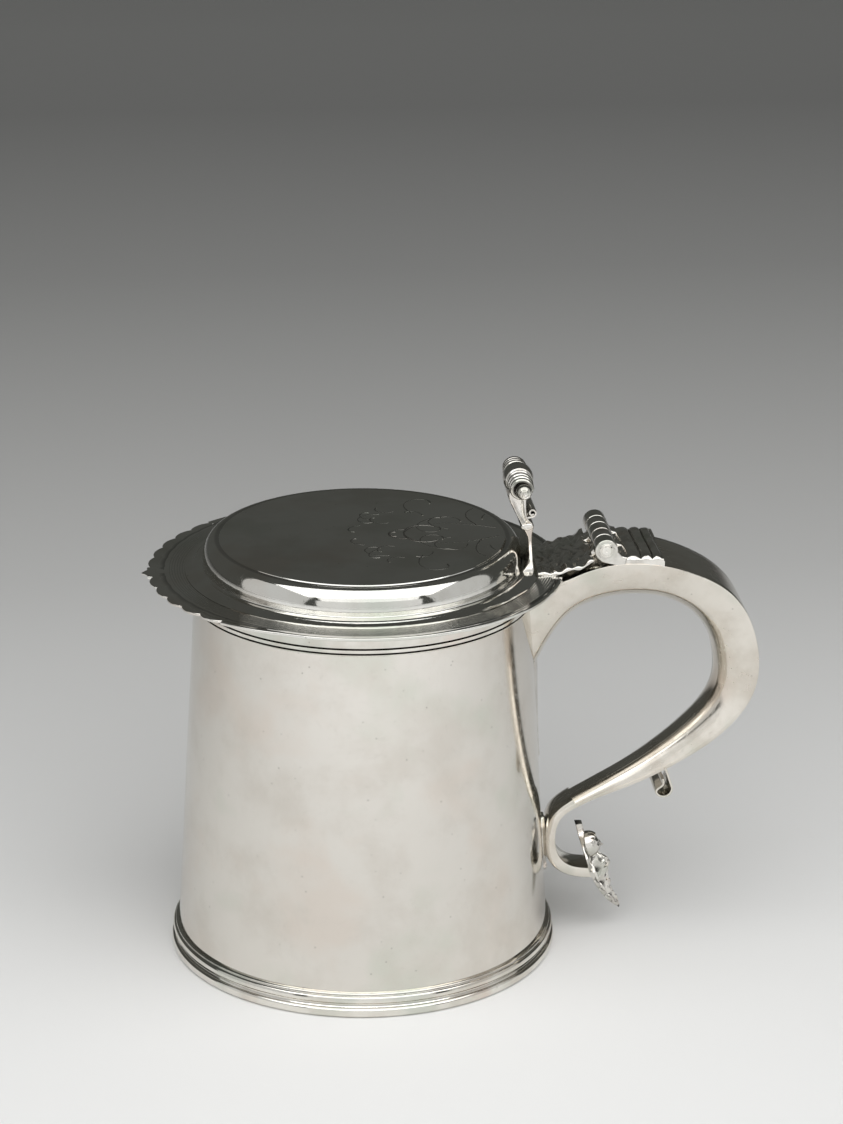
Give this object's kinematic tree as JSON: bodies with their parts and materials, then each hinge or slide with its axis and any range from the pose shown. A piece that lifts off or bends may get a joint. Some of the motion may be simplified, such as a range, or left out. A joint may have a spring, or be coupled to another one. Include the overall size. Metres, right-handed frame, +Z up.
{
  "type": "lidded tankard",
  "caption": "Covered silver tankard: tapered drum on a moulded foot, hinged stepped lid with a scalloped lip, corkscrew thumbpiece and hollow scroll handle with a cast mask.",
  "frame": {"origin": "middle of the whole footprint, lip point to handle, on the surface that the foot rests on", "axes": "+X from the lip point towards the handle, +Y along the hinge pin, +Z up; the drum's axis stands at x = -0.03185 m"},
  "size_m": [0.2204, 0.1436, 0.1805],
  "materials": {
    "raised_silver": "hand-raised and planished sheet silver, polished, with fine scratches and a faint warm tarnish",
    "drawn_silver": "drawn moulding wire and turned pin, polished",
    "handle_silver": "seamed sheet silver, polished, softened by handling",
    "cast_silver": "cast and chased silver, polished on its high places and darker in its hollows"
  },
  "bodies": {
    "tankard": {"body_drum": "raised_silver", "base_disc": "raised_silver", "foot_ring": "drawn_silver", "base_moulding": "drawn_silver", "lip_moulding": "drawn_silver", "handle_strap": "handle_silver", "handle_shell": "handle_silver", "handle_tip": "cast_silver", "handle_drop": "cast_silver", "handle_pad": "cast_silver", "handle_roll": "handle_silver", "terminal_plate": "cast_silver", "terminal_mask": "cast_silver", "terminal_foliage": "cast_silver", "handle_hinge_leaf": "cast_silver", "hinge_pin": "drawn_silver"},
    "lid": {"lid_cover": "raised_silver", "lid_bezel": "raised_silver", "lid_hinge_leaf": "cast_silver", "thumb_stem": "cast_silver", "thumb_scroll": "cast_silver", "thumb_volute": "cast_silver", "thumb_coil": "cast_silver", "thumb_button_near": "cast_silver", "thumb_button_far": "cast_silver"}
  },
  "joints": [
    {"name": "lid_hinge", "type": "hinge", "parent": "tankard", "child": "lid", "pos_m": [0.05315, 0, 0.1526], "axis": [0, 1, 0], "range_deg": [0, 105]}
  ]
}
